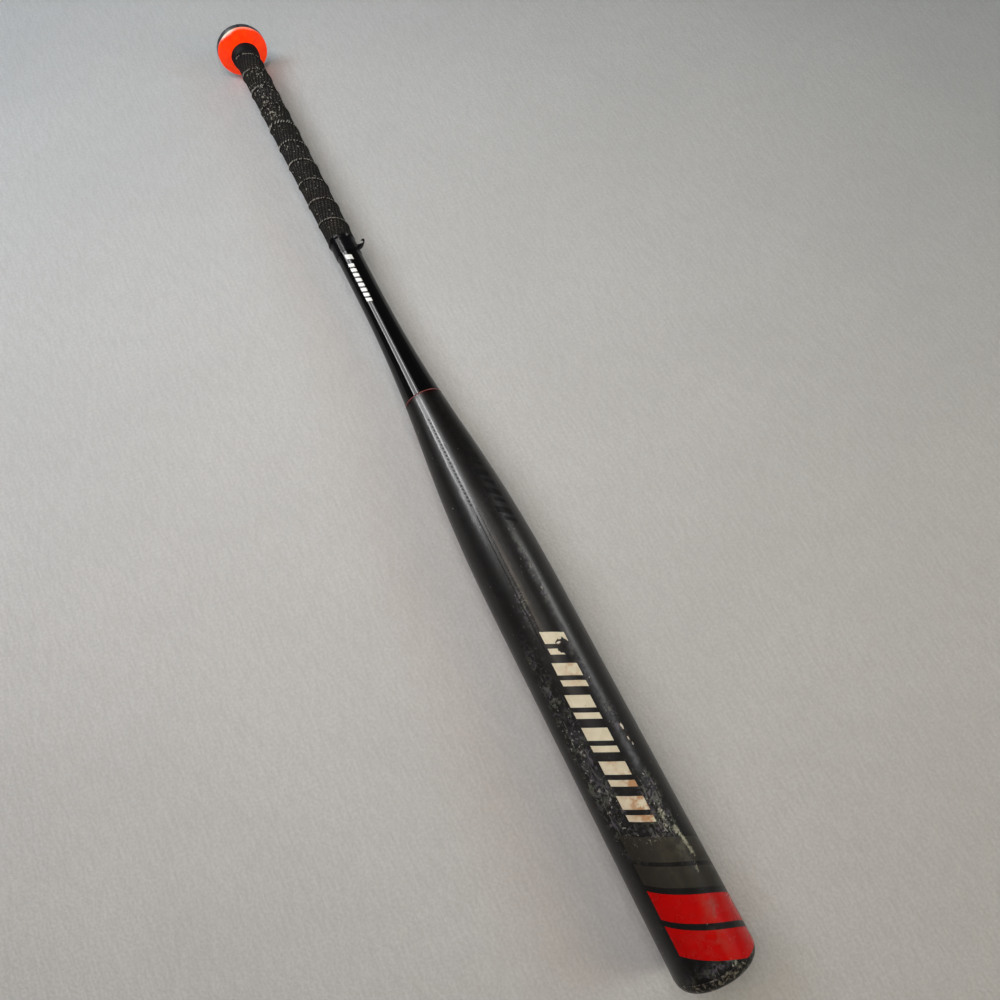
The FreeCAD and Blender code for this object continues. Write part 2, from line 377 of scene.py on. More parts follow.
SMEARED = [
    (761, -24, 5, 5, 0.9), (768, -20, 4, 3, 0.7), (774, -31, 4, 6, 0.95), (781, -35, 4, 4.5, 1.0),
    (789, -37, 5, 4.5, 1.0), (799, -31, 4, 3, 0.7), (772, 6, 3, 14, 0.5),
]
CHIPPED = [
    (704, -32, 3.2, 4.0, 1.0), (712, -33, 3.0, 3.0, 0.9), (717, -35, 1.6, 2.0, 0.9), (637, -6, 4, 5, 0.8),
    (744, -30, 3, 3, 0.6),
]
SMEAR_COLOUR = (0.40, 0.39, 0.29)


def smeared(sh, colour):
    """A colour with the pale, broken-up smears rubbed onto it."""
    broken = sh.times(sh.noise(0.45, 7, seed=49, swirl=1.0), 2.2)
    return sh.mix(sh.ramp(sh.plus(sh.spots(SMEARED), broken), 1.55, 2.2, 0.0, 0.9), colour, SMEAR_COLOUR)


def wear(sh):
    """How worn the barrel's finish is, and the specks and scratches that the wear leaves."""
    worn = sh.math("MINIMUM", sh.spots(WORN), 1.0)
    grain = sh.noise(0.42, 5, seed=1)
    specks = sh.ramp(sh.plus(grain, sh.times(worn, 0.115)), 0.705, 0.75)
    lines = sh.noise(0.9, 3, stretch=(0.12, 1.1), seed=2)
    scratches = sh.ramp(sh.plus(lines, sh.times(worn, 0.1)), 0.70, 0.76)
    marks = sh.math("MAXIMUM", specks, sh.times(scratches, 0.4))
    return worn, marks


def barrel_coat(sh):
    """The black satin coat with its wear: its colour, how worn it is, and its specks and scratches."""
    worn, marks = wear(sh)
    station = sh.places()[0]
    black = sh.mix(sh.noise(0.035, 4, seed=3), (0.0032, 0.003, 0.0032), (0.008, 0.0072, 0.0068))
    red_tinge = sh.ramp(station, BARREL_START + 2.0, BARREL_START + 4.0, 0.9, 0.0)
    black = sh.mix(red_tinge, black, (0.009, 0.0006, 0.0006))
    scuffs = sh.ramp(sh.noise(0.22, 7, seed=4, swirl=1.6), 0.43, 0.64)
    clouds = sh.ramp(sh.noise(0.085, 4, seed=43), 0.36, 0.56)
    rubbed = sh.times(scuffs, clouds, sh.ramp(worn, 0.06, 0.7, 0.04, 1.0))
    tint = sh.mix(sh.ramp(sh.noise(0.14, 3, seed=47), 0.42, 0.58), (0.102, 0.09, 0.112), (0.098, 0.103, 0.08))
    dusty = sh.mix(rubbed, black, tint)
    # Pale grey streaks along the right side: a painted reflection of a light. The patch on the left side is a
    # grey film.
    sheen_and_film = sh.times(sh.spots(SHEEN_STREAKS_AND_FILM), sh.ramp(sh.noise(0.12, 6, seed=48, swirl=0.8), 0.36, 0.62))
    dusty = sh.mix(sh.times(sh.math("MINIMUM", sheen_and_film, 1.0), 0.75), dusty, (0.05, 0.05, 0.056))
    colour = smeared(sh, sh.mix(sh.times(marks, 0.7), dusty, (0.36, 0.35, 0.31)))
    chips = sh.plus(sh.spots(CHIPPED), sh.times(sh.noise(0.5, 3, seed=50), 1.6))
    colour = sh.mix(sh.ramp(chips, 1.38, 1.5), colour, (0.07, 0.032, 0.018))
    colour = sh.mix(sh.ramp(chips, 1.56, 1.64), colour, (0.66, 0.62, 0.54))
    return colour, worn, marks


def make_barrel_paint():
    """The barrel's coat, which is cleaner and glossier on the printed face near the joint."""
    sh = Shader("barrel_paint")
    colour, worn, marks = barrel_coat(sh)
    pebble = sh.bump(sh.noise(1.1, 2, seed=6), 0.02)
    chipped = sh.bump(marks, -0.05, pebble)
    station, around = sh.places()
    ends = sh.times(sh.ramp(station, BARREL_START + 2.0, BARREL_START + 4.0),
                    sh.ramp(station, BARREL_END - 1.5, BARREL_END - 0.5, 1.0, 0.0))
    gloss = sh.times(sh.ramp(worn, 0.0, 0.8, 0.32, 0.1), sh.plus(sh.times(ends, 0.85), 0.15))
    haze = sh.plus(sh.ramp(station, 425, 565, 0.05, 0.23), sh.times(sh.noise(0.5, 4, seed=45), 0.04))
    on_face = sh.times(sh.ramp(around, FACE - 26, FACE + 2), sh.ramp(around, FACE + 24, FACE + 44, 1.0, 0.0))
    clean = sh.times(on_face, sh.ramp(station, 440, 560, 0.26, 0.0))
    sheen = sh.plus(sh.ramp(station, 440, 545, 0.08, 0.17), clean)
    rough = sh.plus(sh.ramp(worn, 0.0, 1.0, 0.36, 0.5), sh.times(sh.noise(0.3, 4, seed=5), 0.1))
    rough = sh.minus(rough, sh.ramp(station, 440, 560, 0.06, 0.0))
    return sh.finish(colour, rough, chipped, Coat_Weight=gloss, Coat_Roughness=haze, Specular_IOR_Level=sheen)


def make_ink(name, ink, darker, stain, stains=(), rough=0.34, holes=(), dusty=(0.5, 0.46, 0.4)):
    """An ink layer on the barrel that is rubbed and chipped through to the black coat."""
    sh = Shader(name)
    coat, _, marks = barrel_coat(sh)
    uneven = sh.ramp(sh.noise(0.16, 5, seed=7), 0.35, 0.7)
    colour = sh.mix(sh.times(uneven, 0.6), ink, darker)
    if stains:
        blotch = sh.times(sh.spots(stains), sh.ramp(sh.noise(0.2, 6, seed=8), 0.4, 0.62))
        colour = sh.mix(sh.math("MINIMUM", blotch, 0.85), colour, stain)
    chips = sh.ramp(sh.noise(0.55, 6, seed=9), 0.705, 0.74)
    if holes:
        torn = sh.plus(sh.spots(holes), sh.times(sh.noise(0.28, 5, seed=10), 0.9))
        chips = sh.math("MAXIMUM", chips, sh.ramp(torn, 0.98, 1.05))
    colour = sh.mix(chips, colour, coat)
    colour = smeared(sh, sh.mix(sh.times(marks, 0.4), colour, dusty))
    bump = sh.bump(chips, -0.04, sh.bump(sh.noise(1.2, 3, seed=11), 0.012))
    return sh.finish(colour, sh.plus(rough, sh.times(uneven, 0.1)), bump, Specular_IOR_Level=0.24)


def make_handle_paint():
    sh = Shader("handle_paint")
    haze = sh.noise(0.05, 4, seed=12)
    colour = sh.mix(haze, (0.0016, 0.0016, 0.0019), (0.0034, 0.0032, 0.0032))
    hairlines = sh.ramp(sh.noise(1.4, 2, stretch=(0.06, 1.6), seed=13), 0.66, 0.8)
    colour = sh.mix(sh.times(hairlines, 0.12), colour, (0.12, 0.12, 0.12))
    rough = sh.plus(sh.ramp(haze, 0.3, 0.7, 0.06, 0.11), sh.times(hairlines, 0.14))
    return sh.finish(colour, rough, sh.bump(sh.noise(0.12, 3, seed=14), 0.03), Specular_IOR_Level=0.24)


def make_handle_ink():
    sh = Shader("handle_ink")
    rub = sh.ramp(sh.noise(0.7, 5, seed=15), 0.55, 0.75)
    colour = sh.mix(sh.times(rub, 0.4), (0.78, 0.78, 0.75), (0.4, 0.4, 0.38))
    return sh.finish(colour, 0.3, sh.bump(rub, -0.02))


def make_joint_red():
    sh = Shader("joint_red")
    colour = sh.mix(sh.noise(0.3, 4, seed=16), (0.28, 0.05, 0.042), (0.19, 0.045, 0.042))
    return sh.finish(colour, sh.ramp(sh.noise(0.8, 3, seed=17), 0.3, 0.7, 0.38, 0.55))


def make_cap_urethane():
    sh = Shader("cap_urethane")
    rim = sh.ramp(sh.places()[0], BAT_END - 3.5, BAT_END - 0.9, 1.0, 0.12)
    lines = sh.noise(0.8, 4, stretch=(0.22, 1.3), seed=18)
    scuff = sh.times(sh.ramp(lines, 0.55, 0.70), rim)
    grit = sh.ramp(sh.noise(0.36, 6, seed=19, swirl=0.6), 0.51, 0.63)
    colour = sh.mix(sh.times(scuff, 0.5), (0.0065, 0.006, 0.006), (0.17, 0.15, 0.125))
    colour = sh.mix(sh.times(grit, rim, 0.6), colour, (0.30, 0.27, 0.20))
    rough = sh.ramp(scuff, 0, 1, 0.42, 0.68)
    relief = sh.bump(sh.plus(scuff, grit), -0.06, sh.bump(sh.noise(0.9, 4, seed=20), 0.03))
    return sh.finish(colour, rough, relief, Specular_IOR_Level=0.24)


def make_knob_orange():
    sh = Shader("knob_orange")
    mottle = sh.ramp(sh.noise(0.22, 5, seed=21), 0.35, 0.7)
    colour = sh.mix(sh.times(mottle, 0.6), (1.0, 0.046, 0.001), (0.9, 0.018, 0.0015))
    grime = sh.ramp(sh.noise(0.5, 6, seed=22), 0.64, 0.78)
    colour = sh.mix(sh.times(grime, 0.3), colour, (0.4, 0.03, 0.015))
    rough = sh.ramp(mottle, 0, 1, 0.16, 0.26)
    grained = sh.times(sh.noise(0.5, 4, seed=46), 0.4)
    # A pale pink band along the top of the rim: a painted highlight.
    rim_highlight = sh.ramp(sh.plus(sh.spot(6.2, -16, 2.0, 62, 0.75), grained), 0.35, 0.95, 0.0, 0.65)
    colour = sh.mix(rim_highlight, colour, (1.0, 0.36, 0.24))
    # A cream patch on the rim's upper left: a painted highlight, drawn in the colour of bare plastic.
    cream_highlight = sh.ramp(sh.plus(sh.spot(6.2, 20, 2.6, 27, 1.05), grained), 0.5, 1.2)
    colour = sh.mix(cream_highlight, colour, (0.86, 0.78, 0.66))
    # The orange glows a little, less in the cream patch: painted light that brightens the flange.
    painted_glow = sh.ramp(cream_highlight, 0.0, 1.0, 0.46, 0.1)
    return sh.finish(colour, rough, sh.bump(sh.noise(0.7, 4, seed=23), 0.015), Specular_IOR_Level=0.22,
                     Emission_Color=colour, Emission_Strength=painted_glow)


def make_knob_black():
    sh = Shader("knob_black")
    haze = sh.noise(0.12, 5, seed=24)
    colour = sh.mix(haze, (0.03, 0.033, 0.04), (0.062, 0.064, 0.072))
    scuff = sh.ramp(sh.noise(0.45, 6, seed=25), 0.63, 0.74)
    colour = sh.mix(sh.times(scuff, 0.4), colour, (0.17, 0.16, 0.15))
    return sh.finish(colour, sh.ramp(haze, 0.3, 0.7, 0.22, 0.36), sh.bump(scuff, -0.03))


def make_grip_cloth():
    """Worn cotton tape: yarns along and across the strip, bleached and fuzzy where hands rub it."""
    sh = Shader("grip_cloth")
    station, around = sh.places()
    arc_mm = sh.times(around, math.radians(TAPE_R))
    lengthways = sh.minus(arc_mm, sh.times(station, TAPE_CLIMB))
    crossways = sh.plus(station, sh.times(arc_mm, TAPE_CLIMB))
    shift = sh.times(sh.noise(0.1, 3, seed=44), 7.0)
    rib = sh.math("SINE", sh.plus(sh.times(lengthways, 2 * math.pi / RIB_PITCH), shift))
    cross = sh.math("SINE", sh.minus(sh.times(crossways, 2 * math.pi / YARN_PITCH), shift))
    weave = sh.times(rib, sh.plus(sh.times(cross, 0.5), 0.5))
    fuzz = sh.noise(0.7, 4, seed=26)
    dashes = sh.ramp(sh.plus(sh.times(weave, 0.26), fuzz), 0.44, 0.86)
    tint = sh.ramp(sh.noise(0.05, 3, seed=51), 0.4, 0.6)
    colour = sh.mix(tint, (0.0068, 0.0065, 0.0068), (0.0088, 0.0072, 0.0065))
    yarn = sh.mix(sh.ramp(sh.noise(0.03, 3, seed=52), 0.45, 0.6), (0.082, 0.075, 0.069), (0.080, 0.079, 0.058))
    bleached = sh.ramp(sh.noise(0.08, 4, seed=27), 0.3, 0.65, 0.45, 1.0)
    colour = sh.mix(sh.times(dashes, bleached), colour, yarn)
    rubbed = sh.spots(HANDLED)
    flecks = sh.ramp(sh.plus(sh.noise(0.3, 4, seed=28), sh.times(rubbed, 0.115)), 0.655, 0.71)
    colour = sh.mix(sh.times(flecks, 0.75), colour, (0.33, 0.31, 0.25))
    # The cloth is darker towards the knob band.
    darker_near_knob = sh.ramp(station, BAND_TOP + 6, BAND_TOP + 24, 0.6, 0.0)
    colour = sh.mix(darker_near_knob, colour, (0.008, 0.007, 0.0075))
    # A dark band on each turn just past its knob-side edge: painted shade along the step in the tape.
    climb = sh.times(sh.minus(around, FACE), TAPE_PITCH / 360)
    turns = sh.math("DIVIDE", sh.plus(sh.minus(station, EDGE_STATION), climb), TAPE_PITCH)
    across = sh.times(sh.math("FRACT", turns), TAPE_PITCH)
    colour = sh.mix(sh.ramp(across, 0.8, 2.6, 0.8, 0.0), colour, (0.005, 0.0045, 0.004))
    bump = sh.bump(fuzz, 0.2, sh.bump(weave, 0.1))
    return sh.finish(colour, 0.92, bump, Specular_IOR_Level=0.1)


def make_thread():
    sh = Shader("thread")
    colour = sh.mix(sh.ramp(sh.noise(0.35, 4, seed=29), 0.3, 0.7), (0.25, 0.235, 0.21), (0.56, 0.54, 0.48))
    return sh.finish(colour, 0.9, sh.bump(sh.noise(2.5, 3, seed=30), 0.05))


def make_vinyl():
    sh = Shader("vinyl_tape")
    haze = sh.noise(0.15, 5, seed=31)
    dust = sh.ramp(sh.noise(0.8, 6, seed=32), 0.68, 0.8)
    colour = sh.mix(haze, (0.0025, 0.0025, 0.0034), (0.006, 0.006, 0.0075))
    colour = sh.mix(sh.times(dust, 0.25), colour, (0.13, 0.12, 0.12))
    station = sh.places()[0]
    wrinkle = sh.noise(0.5, 4, stretch=(1.0, 0.25), seed=33)
    handled = sh.ramp(station, BAND_TOP + 20, BAND_TOP + 60, 0.42, 0.0)
    rough = sh.plus(sh.ramp(haze, 0.3, 0.7, 0.13, 0.22), handled)
    gloss = sh.ramp(station, BAND_TOP + 20, BAND_TOP + 60, 0.1, 0.11)
    return sh.finish(colour, rough, sh.bump(wrinkle, 0.07), Specular_IOR_Level=gloss)


def make_moulded(name, colour, other, roughness, per_mm, depth_mm):
    """The finish of a hidden piece: two tones of noise, uneven roughness and a fine relief."""
    sh = Shader(name)
    tone = sh.noise(per_mm, 5, seed=34)
    speck = sh.ramp(sh.noise(per_mm * 5, 3, seed=35), 0.4, 0.7)
    mixed = sh.mix(sh.ramp(tone, 0.3, 0.7), colour, other)
    rough = sh.ramp(speck, 0, 1, roughness, roughness + 0.12)
    return sh.finish(mixed, rough, sh.bump(speck, depth_mm))


def make_turned_steel():
    sh = Shader("weight_steel")
    rings = sh.noise(1.2, 2, stretch=(1.5, 0.05), seed=36)
    colour = sh.mix(rings, (0.36, 0.36, 0.37), (0.55, 0.55, 0.54))
    return sh.finish(colour, sh.ramp(rings, 0.3, 0.7, 0.24, 0.4), sh.bump(rings, 0.02), Metallic=1.0)


# ---------------- knob

def build_knob():
    rounding = 2.4
    recess_r, recess_depth = BADGE_R + 0.1, 0.4
    spigot_r, spigot_end = 8.0, KNOB_SEAM + 22.0
    base = [(recess_depth, 0.0), (recess_depth, recess_r), (0.0, recess_r), (0.0, KNOB_R - rounding)]
    base += arc(rounding, KNOB_R - rounding, rounding, 180, 90, 12)
    base += arc(KNOB_SEAM - EDGE, KNOB_R - EDGE, EDGE, 90, 0, 4)
    base += [(KNOB_SEAM, spigot_r), (spigot_end, spigot_r), (spigot_end, 0.0)]
    piece("knob_base_body", *turned(base), make_knob_black(), "knob_black", ["knob_base"])

    outer, inner = KNOB_R - 0.1, HANDLE_R + GLUE_GAP
    flange = [(KNOB_SEAM, inner), (KNOB_SEAM, outer - EDGE)]
    flange += arc(KNOB_SEAM + EDGE, outer - EDGE, EDGE, 180, 90, 4)
    flange += arc(KNOB_SEAM + 1.2, outer - rounding, rounding, 90, 24, 12)
    slope_start, slope_end, dish = flange[-1], (KNOB_TOP - 0.5, 13.9), 0.35
    for i in range(1, 9):
        share = i / 9
        station, r = (a + (b - a) * share for a, b in zip(slope_start, slope_end))
        flange.append((station - dish * math.sin(math.pi * share), r))
    flange += [slope_end, (KNOB_TOP, 13.4), (KNOB_TOP, inner)]
    piece("knob_front_flange", *turned(flange), make_knob_orange(), "knob_orange", ["knob_flange"])


# ---------------- grip

EDGE_STATION = 21.75  # where the first turn's knob-side edge crosses the printed face
TAPE_PITCH = 23.25
TAPE_OVERLAP = 4.0
TAPE_THICKNESS = 0.38
EDGE_RISE = 0.9  # how far a turn's edge stands up over the turn below
TAPE_R = 11.9  # the cloth's outer radius
TAPE_CLIMB = TAPE_PITCH / (2 * math.pi * TAPE_R)
RIB_PITCH, YARN_PITCH, WEAVE_HEIGHT = 3.1, 2.5, 0.07
STEPS_PER_TURN = 210
STRAY_FIBRES = 120
BAND_START_OVERLAP, BAND_END = 1.4, 266.5  # of the black tape over the grip's end

# Where hands have rubbed the cloth: station, angle around, length, spread, strength.
HANDLED = [(81, 16, 9, 22, 1.0), (103, 22, 9, 26, 1.0), (47, 4, 4, 24, 0.8), (176, -20, 18, 22, 0.2)]

# For each turn: degrees between the loose yarns on its edge, their length and their thickness.
FRINGE = [
    (6, 1.0, 0.55), (8, 1.3, 0.6), (7, 1.6, 0.7), (8, 0.9, 0.5), (10, 2.3, 0.9), (11, 1.2, 0.95),
    (6, 0.9, 0.75), (5, 0.7, 0.6), (7, 0.8, 0.65), (4, 0.6, 0.5),
]


def edge_station(turned_by):
    """The station of the tape's knob-side edge after that many degrees of winding, with a hand-wound wobble."""
    wobble = noise.noise(Vector((turned_by / 70, 3.1, 0.7)))
    slack = 3.2 * max(0.0, 1 - abs(turned_by) / 240)
    return EDGE_STATION + TAPE_PITCH * turned_by / 360 + 0.4 * wobble + slack


def tape_height(across, turned_by):
    """How far the strip's underside lies above the underlay, from its raised edge to where it is tucked in."""
    lip = min(1.0, max(0.0, (across - 0.4) / 1.4))
    share = min(1.0, max(0.0, (across - 1.0) / 7.0))
    rise = EDGE_RISE * (0.6 * (1 - lip) ** 2 + 0.24 * (1 - share * share * (3 - 2 * share)))
    rise *= 1 + 0.5 * noise.noise(Vector((turned_by / 40, 9.0, 2.0)))
    tuck = 0.25 * min(1.0, max(0.0, (across - TAPE_PITCH) / 1.5))
    lumps = 0.06 * noise.noise(Vector((turned_by / 25, across / 6, 1.3)))
    return 0.04 + rise - tuck + lumps


def build_tape(cloth, thread):
    """The cloth strip, wound from below the neck band to past the grip's end and cut off at both."""
    width = TAPE_PITCH + TAPE_OVERLAP
    first = -360 * 1.3
    last = 360 * (GRIP_END - EDGE_STATION) / TAPE_PITCH + 200
    steps = round((last - first) / 360 * STEPS_PER_TURN)
    samples = 32
    rings = []
    for i in range(steps + 1):
        turned_by = first + (last - first) * i / steps
        around = FACE - turned_by
        edge = edge_station(turned_by)
        start, end = max(edge, BAND_TOP), min(edge + width, GRIP_END)
        if end - start < 1.5:
            continue
        upper, lower = [], []
        for j in range(samples + 1):
            station = start + (end - start) * (j / samples) ** 1.5
            arc_mm = math.radians(around) * TAPE_R
            rib = math.sin(2 * math.pi * (arc_mm - TAPE_CLIMB * station) / RIB_PITCH)
            rib *= 0.5 + 0.5 * math.sin(2 * math.pi * (station + TAPE_CLIMB * arc_mm) / YARN_PITCH)
            r = UNDERLAY_R + tape_height(station - edge, turned_by)
            upper.append(bat_point(station, around, r + TAPE_THICKNESS + WEAVE_HEIGHT * rib))
            if j % 5 == 0 or j == samples:
                lower.append(bat_point(station, around, r))
        rings.append(upper + lower[::-1])
    piece("grip_tape_wound", *loft(rings), cloth, "grip_cloth", ["grip_tape"], sharp=60)
    build_fringe(thread, first, last)


def thread_bit(start, end, bend, thickness):
    """A short loose yarn end: a thin four-sided tube that tapers and lifts in the middle."""
    axis = (end - start).normalized()
    side = axis.orthogonal().normalized()
    other = axis.cross(side)
    rings = []
    for share in (0.0, 0.35, 0.7, 1.0):
        middle = start.lerp(end, share) + bend * math.sin(math.pi * share)
        size = thickness * (1 - 0.45 * share) / 2
        rings.append([middle + side * size, middle + other * size, middle - side * size, middle - other * size])
    return loft(rings)


def outward(station, around):
    """One millimetre straight away from the axis."""
    return bat_point(station, around, 1) - bat_point(station, around, 0)


def build_fringe(thread, first, last):
    """The light yarn ends along the tape's knob-side edge, and stray fibres over the cloth."""
    bits = []
    cloth_r = UNDERLAY_R + TAPE_THICKNESS
    turned_by = first
    while turned_by < last:
        around = FACE - turned_by
        edge = edge_station(turned_by)
        gap, reach, size = FRINGE[min(len(FRINGE) - 1, max(0, round(turned_by / 360)))]
        turned_by += gap * random.uniform(0.75, 1.3)
        if not BAND_TOP + 1.5 < edge < GRIP_END - 1.5 or random.random() < 0.15:
            continue
        r = cloth_r + 0.85 * EDGE_RISE
        reach *= random.uniform(0.7, 1.25)
        twist = random.uniform(-3.0, 3.0) - 4 * reach
        start = bat_point(edge + 0.5, around, r + 0.12)
        end = bat_point(edge - reach, around + twist, r - random.uniform(0.2, 0.7))
        lift = outward(edge, around) * random.uniform(0.0, 0.3)
        bits.append(thread_bit(start, end, lift, size * random.uniform(0.75, 1.2) * MM))
    for _ in range(STRAY_FIBRES):
        station = random.gauss(90, 17) if random.random() < 0.6 else random.uniform(BAND_TOP + 22, GRIP_END - 4)
        around = random.gauss(14, 26) if random.random() < 0.6 else random.uniform(0, 360)
        if not BAND_TOP + 4 < station < GRIP_END - 3:
            continue
        heading = random.uniform(0, 2 * math.pi)
        reach = random.uniform(0.6, 1.7)
        start = bat_point(station, around, cloth_r + 0.4)
        end_station, end_around = station + reach * math.cos(heading), around + 5 * reach * math.sin(heading)
        end = bat_point(end_station, end_around, cloth_r + 0.3)
        lift = outward(station, around) * random.uniform(0.1, 0.3)
        bits.append(thread_bit(start, end, lift, random.uniform(0.35, 0.8) * MM))
    piece("grip_fringe", *joined(bits), thread, "grip_cloth")


def build_lower_band(vinyl):
    """The rolled dark tape against the knob: two turns with soft edges."""
    end = BAND_TOP + 0.8
    outline = [(KNOB_TOP, HANDLE_R)]
    for station in span(KNOB_TOP, end, 0.25):
        share = (station - KNOB_TOP) / (end - KNOB_TOP)
        bulge = 13.2 - 1.35 * share ** 2
        step = 0.22 * math.cos(min(1.0, abs(share - 0.52) * 9) * math.pi / 2)
        outline.append((station, bulge + step))
    outline.append((end, HANDLE_R))

    def creased(station, around, r):
        if r < UNDERLAY_R:
            return r
        a = math.radians(around)
        return r + 0.16 * noise.noise(Vector((station / 2.2, 2.4 * math.cos(a), 2.4 * math.sin(a))))

    piece("knob_neck_tape", *turned(outline, skin=creased), vinyl, "vinyl_tape", ["lower_band"])


def build_finishing_band(vinyl):
    """The stretched black tape over the grip's end. Its edges slant, and it is wrinkled where it was pulled."""
    rows = 44
    handle_side, cloth_side = HANDLE_R + 0.12, UNDERLAY_R + TAPE_THICKNESS + 0.25
    rings = []
    for i in range(SEGMENTS):
        around = 360 * i / SEGMENTS
        lean = math.sin(math.radians(around - FACE))
        start = GRIP_END - BAND_START_OVERLAP - 1.7 * lean
        end = BAND_END - 1.5 * lean + 0.4 * noise.noise(Vector((i / 9, 0.3, 7.7)))
        upper, lower = [], []
        for j in range(rows + 1):
            station = start + (end - start) * j / rows
            over_cloth = min(1.0, max(0.0, (GRIP_END + 1.8 - station) / 3.0))
            over_cloth = over_cloth ** 2 * (3 - 2 * over_cloth)
            r = handle_side + (cloth_side - handle_side) * over_cloth
            a = math.radians(around)
            fold = noise.noise(Vector((station / 1.9, 0.9 * math.cos(a), 0.9 * math.sin(a))))
            slack = noise.noise(Vector((station / 5.0, 2.1 * math.cos(a), 2.1 * math.sin(a) + 4)))
            thick = 0.42 - 0.2 * (j / rows) + 0.07 * fold + 0.1 * slack
            upper.append(bat_point(station, around, r + max(0.08, thick)))
            if j % 4 == 0:
                lower.append(bat_point(station, around, r - 0.05))
        rings.append(upper + lower[::-1])
    piece("grip_end_band", *loft(rings, closed=True), vinyl, "vinyl_tape", ["finishing_band"], sharp=50)
    build_loose_tail(vinyl)


def build_loose_tail(vinyl):
    """The tape's loose end, which has come away and curls up beside the handle."""
    path = [(265.5, -44, 11.2), (264.6, -62, 12.2), (262.6, -76, 14.4), (259.8, -84, 16.6), (256.8, -88, 17.8),
            (254.6, -90, 17.6), (253.8, -92, 16.4), (254.4, -94, 15.4)]
    section = [(-1, -0.4), (-0.4, -1), (0.4, -1), (1, -0.4), (1, 0.4), (0.4, 1), (-0.4, 1), (-1, 0.4)]
    thick = 0.5
    rings = []
    for i, (station, around, r) in enumerate(path):
        share = i / (len(path) - 1)
        half = 2.6 * (1 - 0.66 * share)
        twist = math.radians(30 * share + 20)
        middle = bat_point(station, around, r)
        before = bat_point(*path[max(0, i - 1)])
        after = bat_point(*path[min(len(path) - 1, i + 1)])
        heading = (after - before).normalized()
        across = heading.cross(outward(station, around)).normalized()
        across = Matrix.Rotation(twist, 3, heading) @ across
        flat = heading.cross(across).normalized()
        rings.append([middle + (across * a * half + flat * b * thick) * MM for a, b in section])
    tail = piece("loose_tape_tail", *loft(rings), vinyl, "vinyl_tape", sharp=70)
    smooth = tail.modifiers.new("rounded", "SUBSURF")
    smooth.levels = 2
    smooth.render_levels = 2


# ---------------- handle, ring, barrel and cap

def build_handle():
    """The handle with its insert in the barrel, and the red lip at the joint."""
    joint_r = body_radius(JOINT)
    outline = [(KNOB_SEAM, HANDLE_BORE), (KNOB_SEAM, HANDLE_R)]
    outline += [(s, HANDLE_R) for s in span(KNOB_SEAM, FLARE_START, 12)[1:-1]]
    outline += [(s, body_radius(s)) for s in span(FLARE_START, JOINT - 0.25, 2.5)]
    outline += [(JOINT, joint_r - 0.2), (JOINT, INSERT_NECK_R), (FLARE_END, INSERT_BEND_R),
                (INSERT_END, INSERT_END_R), (INSERT_END, INSERT_END_BORE), (JOINT, INSERT_NECK_BORE),
                (FLARE_START, HANDLE_BORE)]
    piece("handle_shaft", *turned(outline), make_handle_paint(), "handle_paint", ["handle_tube"])
    ring = [(JOINT, INSERT_NECK_R), (JOINT, joint_r - 0.05), (JOINT + 0.2, joint_r + 0.1),
            (BARREL_START - 0.2, joint_r + 0.16), (BARREL_START, body_radius(BARREL_START)),
            (BARREL_START, INSERT_NECK_R + 0.05)]
    piece("joint_lip", *turned(ring), make_joint_red(), "joint_red", ["joint_ring"])


def build_barrel():
    start_r = body_radius(BARREL_START)
    outline = [(BARREL_START, INSERT_NECK_R + SLEEVE_THICKNESS + 0.1), (BARREL_START, start_r - 0.05)]
    outline += arc(BARREL_START + EDGE, start_r - 0.2, EDGE, 180, 95, 4)[1:]
    outline += [(s, body_radius(s)) for s in span(BARREL_START + 1.0, BARREL_END - 0.6, 2.1)]
    outline += [(BARREL_END - 0.15, BARREL_R - 0.08), (BARREL_END, BARREL_R - 0.3), (BARREL_END, BARREL_BORE),
                (SKIRT_START, BARREL_BORE), (SHOULDER_END, SHOULDER_BORE),
                (INSERT_END, INSERT_END_R + SLEEVE_THICKNESS), (FLARE_END, INSERT_BEND_R + SLEEVE_THICKNESS)]

    def skin(station, around, r):
        on_outside = r > body_radius(station) - 0.01
        return barrel_skin(station, around) if on_outside else r

    tube = turned(outline, segments=224, skin=skin)
    piece("barrel_tube", *tube, make_barrel_paint(), "barrel_paint", ["barrel_shell"])


def build_end_cap():
    rounding, dome, wall, skirt, rib_inner_r = 7.2, 1.0, 3.0, 2.2, 15.5
    face = BAT_END - dome
    dome_r = CAP_R - rounding
    skirt_r = BARREL_BORE - GLUE_GAP
    outline = [(SKIRT_START, skirt_r - skirt), (SKIRT_START, skirt_r), (BARREL_END, skirt_r),
               (BARREL_END, CAP_R - EDGE)]
    outline += arc(BARREL_END + EDGE, CAP_R - EDGE, EDGE, 180, 90, 4)[1:]
    outline += arc(face - rounding, CAP_R - rounding, rounding, 88, 0, 22)
    for i in range(1, 15):
        share = i / 14
        outline.append((face + dome * (1 - (1 - share) ** 2), dome_r * (1 - share)))
    outline += [(BAT_END - wall, 0.0), (BAT_END - wall, skirt_r - skirt)]
    parts = [turned(outline)]
    for i in range(6):
        parts.append(cap_rib(60 * i, BAT_END - wall, rib_inner_r, skirt_r - skirt / 2))
    piece("end_cap_shell", *joined(parts), make_cap_urethane(), "cap_urethane", ["end_cap"])


def cap_rib(around, face, inner, outer, length=9.0, thickness=1.6):
    """One flat stiffening rib inside the end cap."""
    half = math.degrees(thickness / 2 / ((inner + outer) / 2))
    points = [bat_point(station, around + side, r)
              for station in (face - length, face + 1) for side in (-half, half) for r in (inner, outer)]
    faces = [(0, 1, 3, 2), (4, 6, 7, 5), (0, 4, 5, 1), (2, 3, 7, 6), (0, 2, 6, 4), (1, 5, 7, 3)]
    return points, faces


# ---------------- print

